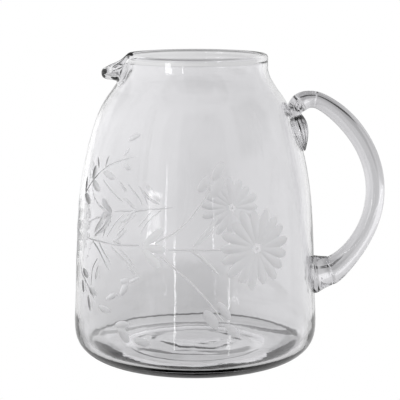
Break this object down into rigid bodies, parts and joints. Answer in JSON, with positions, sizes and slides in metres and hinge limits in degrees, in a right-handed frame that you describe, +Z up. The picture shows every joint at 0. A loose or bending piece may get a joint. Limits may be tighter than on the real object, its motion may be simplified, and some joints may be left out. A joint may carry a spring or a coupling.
{
  "type": "pitcher",
  "caption": "Clear blown glass pitcher with a bell-shaped body, a short neck with a pulled spout, a rounded base and a drawn loop handle with a crimped end.",
  "frame": {"origin": "centre of the standing ring, on the surface that the pitcher stands on", "axes": "+Z up along the jug's axis, +X towards the handle, -X towards the spout, +Y completing a right-handed frame"},
  "size_m": [0.1918, 0.15, 0.1876],
  "materials": {
    "body_glass": "clear blown glass, fire-polished, with wheel-cut flowers and leaves",
    "pad_glass": "clear hot-worked glass with a few small seeds",
    "handle_glass": "clear drawn glass rod, fire-polished",
    "crimp_glass": "clear hot-worked glass, pressed into ribs"
  },
  "bodies": {
    "root": {"jug_body": "body_glass", "lower_pad": "pad_glass", "handle": "handle_glass", "crimped_end": "crimp_glass"}
  },
  "joints": []
}
